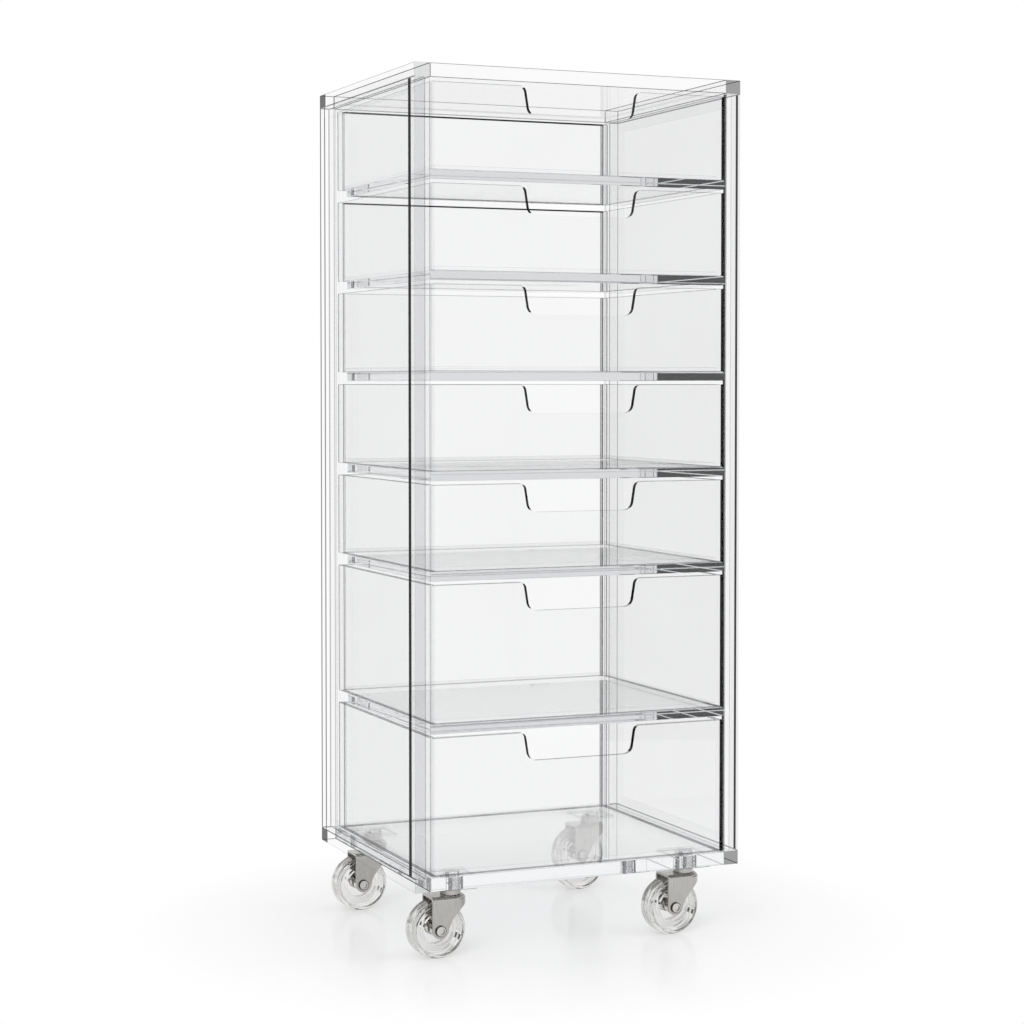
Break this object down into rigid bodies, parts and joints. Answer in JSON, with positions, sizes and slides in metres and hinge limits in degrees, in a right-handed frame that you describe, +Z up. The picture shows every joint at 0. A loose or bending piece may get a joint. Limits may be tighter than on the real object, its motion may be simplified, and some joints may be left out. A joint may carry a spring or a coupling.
{
  "type": "rolling drawer cart",
  "caption": "Clear sheet tower cart with stacked pull-out drawers, finger notches in the drawer fronts and swivel casters, for small supplies in a lab, clinic or salon.",
  "frame": {"origin": "on the floor under the centre of the cabinet", "axes": "+Z up, +X to the right as the user faces the drawers, +Y towards the back; the drawers open towards -Y"},
  "size_m": [0.31, 0.25, 0.7635],
  "materials": {
    "clear_sheet": "clear cast acrylic, polished faces and edges",
    "clear_tread": "clear soft tread, lightly worn",
    "clear_hub": "clear moulded hub",
    "nickel": "satin nickel plate on pressed steel",
    "insert_metal": "bright zinc plate",
    "bearing_steel": "polished steel"
  },
  "bodies": {
    "cabinet": {"side_panels": "clear_sheet", "side_frames": "clear_sheet", "side_rails": "clear_sheet", "top_panel": "clear_sheet", "bottom_panel": "clear_sheet", "back_panel": "clear_sheet", "shelf_1": "clear_sheet", "shelf_2": "clear_sheet", "shelf_3": "clear_sheet", "shelf_4": "clear_sheet", "shelf_5": "clear_sheet", "shelf_6": "clear_sheet", "caster_pads": "clear_sheet", "threaded_inserts": "insert_metal", "caster_stems": "nickel", "swivel_balls": "bearing_steel"},
    "drawer_1": {"drawer_1_front": "clear_sheet", "drawer_1_sides": "clear_sheet", "drawer_1_back": "clear_sheet", "drawer_1_floor": "clear_sheet"},
    "drawer_2": {"drawer_2_front": "clear_sheet", "drawer_2_sides": "clear_sheet", "drawer_2_back": "clear_sheet", "drawer_2_floor": "clear_sheet"},
    "drawer_3": {"drawer_3_front": "clear_sheet", "drawer_3_sides": "clear_sheet", "drawer_3_back": "clear_sheet", "drawer_3_floor": "clear_sheet"},
    "drawer_4": {"drawer_4_front": "clear_sheet", "drawer_4_sides": "clear_sheet", "drawer_4_back": "clear_sheet", "drawer_4_floor": "clear_sheet"},
    "drawer_5": {"drawer_5_front": "clear_sheet", "drawer_5_sides": "clear_sheet", "drawer_5_back": "clear_sheet", "drawer_5_floor": "clear_sheet"},
    "drawer_6": {"drawer_6_front": "clear_sheet", "drawer_6_sides": "clear_sheet", "drawer_6_back": "clear_sheet", "drawer_6_floor": "clear_sheet"},
    "drawer_7": {"drawer_7_front": "clear_sheet", "drawer_7_sides": "clear_sheet", "drawer_7_back": "clear_sheet", "drawer_7_floor": "clear_sheet"},
    "front_left_caster": {"front_left_fork": "nickel", "front_left_axle": "nickel"},
    "front_left_wheel": {"front_left_tyre": "clear_tread", "front_left_hub": "clear_hub"},
    "front_right_caster": {"front_right_fork": "nickel", "front_right_axle": "nickel"},
    "front_right_wheel": {"front_right_tyre": "clear_tread", "front_right_hub": "clear_hub"},
    "rear_left_caster": {"rear_left_fork": "nickel", "rear_left_axle": "nickel"},
    "rear_left_wheel": {"rear_left_tyre": "clear_tread", "rear_left_hub": "clear_hub"},
    "rear_right_caster": {"rear_right_fork": "nickel", "rear_right_axle": "nickel"},
    "rear_right_wheel": {"rear_right_tyre": "clear_tread", "rear_right_hub": "clear_hub"}
  },
  "joints": [
    {"name": "drawer_1_slide", "type": "slide", "parent": "cabinet", "child": "drawer_1", "axis": [0, -1, 0], "range_m": [0, 0.2]},
    {"name": "drawer_2_slide", "type": "slide", "parent": "cabinet", "child": "drawer_2", "axis": [0, -1, 0], "range_m": [0, 0.2]},
    {"name": "drawer_3_slide", "type": "slide", "parent": "cabinet", "child": "drawer_3", "axis": [0, -1, 0], "range_m": [0, 0.2]},
    {"name": "drawer_4_slide", "type": "slide", "parent": "cabinet", "child": "drawer_4", "axis": [0, -1, 0], "range_m": [0, 0.2]},
    {"name": "drawer_5_slide", "type": "slide", "parent": "cabinet", "child": "drawer_5", "axis": [0, -1, 0], "range_m": [0, 0.2]},
    {"name": "drawer_6_slide", "type": "slide", "parent": "cabinet", "child": "drawer_6", "axis": [0, -1, 0], "range_m": [0, 0.2]},
    {"name": "drawer_7_slide", "type": "slide", "parent": "cabinet", "child": "drawer_7", "axis": [0, -1, 0], "range_m": [0, 0.2]},
    {"name": "front_left_swivel", "type": "hinge", "parent": "cabinet", "child": "front_left_caster", "pos_m": [-0.113, -0.099, 0.025], "axis": [0, 0, 1], "continuous": true},
    {"name": "front_left_roll", "type": "hinge", "parent": "front_left_caster", "child": "front_left_wheel", "pos_m": [-0.127, -0.099, 0.025], "axis": [0, 1, 0], "continuous": true},
    {"name": "front_right_swivel", "type": "hinge", "parent": "cabinet", "child": "front_right_caster", "pos_m": [0.113, -0.099, 0.025], "axis": [0, 0, 1], "continuous": true},
    {"name": "front_right_roll", "type": "hinge", "parent": "front_right_caster", "child": "front_right_wheel", "pos_m": [0.099, -0.099, 0.025], "axis": [0, 1, 0], "continuous": true},
    {"name": "rear_left_swivel", "type": "hinge", "parent": "cabinet", "child": "rear_left_caster", "pos_m": [-0.113, 0.099, 0.025], "axis": [0, 0, 1], "continuous": true},
    {"name": "rear_left_roll", "type": "hinge", "parent": "rear_left_caster", "child": "rear_left_wheel", "pos_m": [-0.127, 0.099, 0.025], "axis": [0, 1, 0], "continuous": true},
    {"name": "rear_right_swivel", "type": "hinge", "parent": "cabinet", "child": "rear_right_caster", "pos_m": [0.113, 0.099, 0.025], "axis": [0, 0, 1], "continuous": true},
    {"name": "rear_right_roll", "type": "hinge", "parent": "rear_right_caster", "child": "rear_right_wheel", "pos_m": [0.099, 0.099, 0.025], "axis": [0, 1, 0], "continuous": true}
  ]
}
